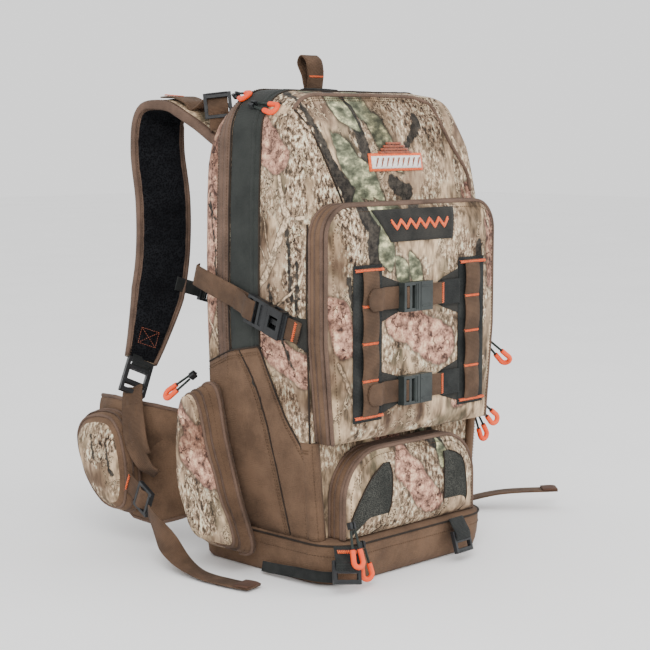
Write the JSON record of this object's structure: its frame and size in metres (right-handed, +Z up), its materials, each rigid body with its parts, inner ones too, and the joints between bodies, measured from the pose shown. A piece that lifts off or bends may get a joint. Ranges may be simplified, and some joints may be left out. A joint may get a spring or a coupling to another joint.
{
  "type": "hunting backpack",
  "caption": "Panel-loading hunting daypack in a woodland print with brown trim, front ladder webbing, side compression straps, padded harness and hip belt.",
  "frame": {"origin": "centre of the flat base face that the pack stands on", "axes": "+Z up, -Y towards the outer face with the pockets, +Y towards the wearer's back, -X towards the wearer's left"},
  "size_m": [0.5827, 0.459, 0.59],
  "materials": {
    "camo_fabric": "woodland print polyester, matt",
    "brown_fabric": "plain woven polyester, matt",
    "brown_webbing": "woven webbing",
    "zip_tape": "binding and zip tape",
    "stretch_panel": "black stretch woven",
    "spacer_mesh": "padded air mesh",
    "black_webbing": "woven webbing",
    "black_acetal": "moulded, satin",
    "orange_sleeve": "moulded sleeve",
    "pull_cord": "braided cord",
    "frame_plastic": "sheet"
  },
  "bodies": {
    "pack": {"back_pad": "spacer_mesh", "base_panel": "brown_fabric", "compression_strap_left": "brown_webbing", "compression_strap_right": "brown_webbing", "frame_sheet": "frame_plastic", "front_shell": "camo_fabric", "gusset_band": "stretch_panel", "lash_lock_left": "black_acetal", "lash_lock_right": "black_acetal", "load_lifter_left": "black_acetal", "load_lifter_right": "black_acetal", "main_shell": "camo_fabric", "pocket_wall_lower": "zip_tape", "pocket_wall_upper": "zip_tape", "side_panel_left": "brown_fabric", "side_panel_right": "brown_fabric", "side_pocket_left": "camo_fabric", "side_pocket_right": "camo_fabric", "side_receiver_left": "black_acetal", "side_receiver_right": "black_acetal"},
    "clip_lower": {"accessory_clip_lower": "black_acetal"},
    "clip_upper": {"accessory_clip_upper": "black_acetal"},
    "front_flap": {"accessory_receiver_lower": "black_acetal", "accessory_receiver_upper": "black_acetal", "accessory_strap_lower": "brown_webbing", "accessory_strap_upper": "brown_webbing", "front_flap": "camo_fabric", "ladder_column_left": "black_webbing", "ladder_column_right": "black_webbing"},
    "belt_left": {"belt_pouch_left": "camo_fabric", "belt_wing_left": "brown_fabric", "stabiliser_lock_left": "black_acetal", "stabiliser_tail_left": "brown_webbing", "waist_clip_left": "black_acetal"},
    "belt_right": {"belt_pouch_right": "camo_fabric", "belt_wing_right": "brown_fabric", "stabiliser_lock_right": "black_acetal", "stabiliser_tail_right": "brown_webbing", "waist_clip_right": "black_acetal"},
    "haul_loop": {"haul_loop": "brown_webbing"},
    "lower_flap": {"lower_flap": "camo_fabric"},
    "pull_front_pocket": {"pull_cord_front_pocket": "pull_cord", "pull_sleeve_front_pocket": "orange_sleeve", "zip_slider_front_pocket": "black_acetal"},
    "pull_lower_pocket": {"pull_cord_lower_pocket": "pull_cord", "pull_sleeve_lower_pocket": "orange_sleeve", "zip_slider_lower_pocket": "black_acetal"},
    "pull_side_pocket": {"pull_cord_side_pocket": "pull_cord", "pull_sleeve_side_pocket": "orange_sleeve", "zip_slider_side_pocket": "black_acetal"},
    "strap_left": {"shoulder_strap_left": "camo_fabric", "sternum_clip_left": "black_acetal", "strap_link_left": "black_acetal", "strap_webbing_left": "brown_webbing"},
    "strap_right": {"shoulder_strap_right": "camo_fabric", "sternum_clip_right": "black_acetal", "strap_link_right": "black_acetal", "strap_webbing_right": "brown_webbing"},
    "comp_clip_left": {"side_clip_left": "black_acetal"},
    "comp_clip_right": {"side_clip_right": "black_acetal"}
  },
  "joints": [
    {"name": "front_pocket_opens", "type": "hinge", "parent": "pack", "child": "front_flap", "pos_m": [0, -0.106, 0.16], "axis": [1, 0, 0], "range_deg": [0, 80]},
    {"name": "lower_pocket_opens", "type": "hinge", "parent": "pack", "child": "lower_flap", "pos_m": [0, -0.106, 0.05], "axis": [1, 0, 0], "range_deg": [0, 60]},
    {"name": "upper_clip_release", "type": "slide", "parent": "front_flap", "child": "clip_upper", "axis": [-1, 0, 0], "range_m": [0, 0.013]},
    {"name": "lower_clip_release", "type": "slide", "parent": "front_flap", "child": "clip_lower", "axis": [-1, 0, 0], "range_m": [0, 0.013]},
    {"name": "haul_loop_fold", "type": "hinge", "parent": "pack", "child": "haul_loop", "pos_m": [-0.002, 0.054, 0.548], "axis": [1, 0, 0], "range_deg": [-50, 50]},
    {"name": "left_side_clip_release", "type": "slide", "parent": "pack", "child": "comp_clip_left", "axis": [0, 0.9545, 0.2983], "range_m": [0, 0.02]},
    {"name": "right_side_clip_release", "type": "slide", "parent": "pack", "child": "comp_clip_right", "axis": [0, 0.9545, 0.2983], "range_m": [0, 0.02]},
    {"name": "left_strap_swing", "type": "hinge", "parent": "pack", "child": "strap_left", "pos_m": [-0.117, 0.1375, 0.2915], "axis": [0.2506, -0.0712, 0.9655], "range_deg": [0, 15]},
    {"name": "right_strap_swing", "type": "hinge", "parent": "pack", "child": "strap_right", "pos_m": [0.117, 0.1375, 0.2915], "axis": [0.2506, 0.0712, -0.9655], "range_deg": [0, 15]},
    {"name": "left_wing_swing", "type": "hinge", "parent": "pack", "child": "belt_left", "pos_m": [-0.11, 0.124, 0.105], "axis": [0, 0, -1], "range_deg": [0, 18]},
    {"name": "right_wing_swing", "type": "hinge", "parent": "pack", "child": "belt_right", "pos_m": [0.11, 0.124, 0.105], "axis": [0, 0, 1], "range_deg": [0, 18]},
    {"name": "side_pocket_zip", "type": "slide", "parent": "pack", "child": "pull_side_pocket", "axis": [0, -1, 0], "range_m": [0, 0.015]},
    {"name": "front_pocket_zip", "type": "slide", "parent": "pack", "child": "pull_front_pocket", "axis": [0, 0, 1], "range_m": [-0.06, 0]},
    {"name": "lower_pocket_zip", "type": "slide", "parent": "pack", "child": "pull_lower_pocket", "axis": [0, 0, 1], "range_m": [0, 0.03]}
  ]
}
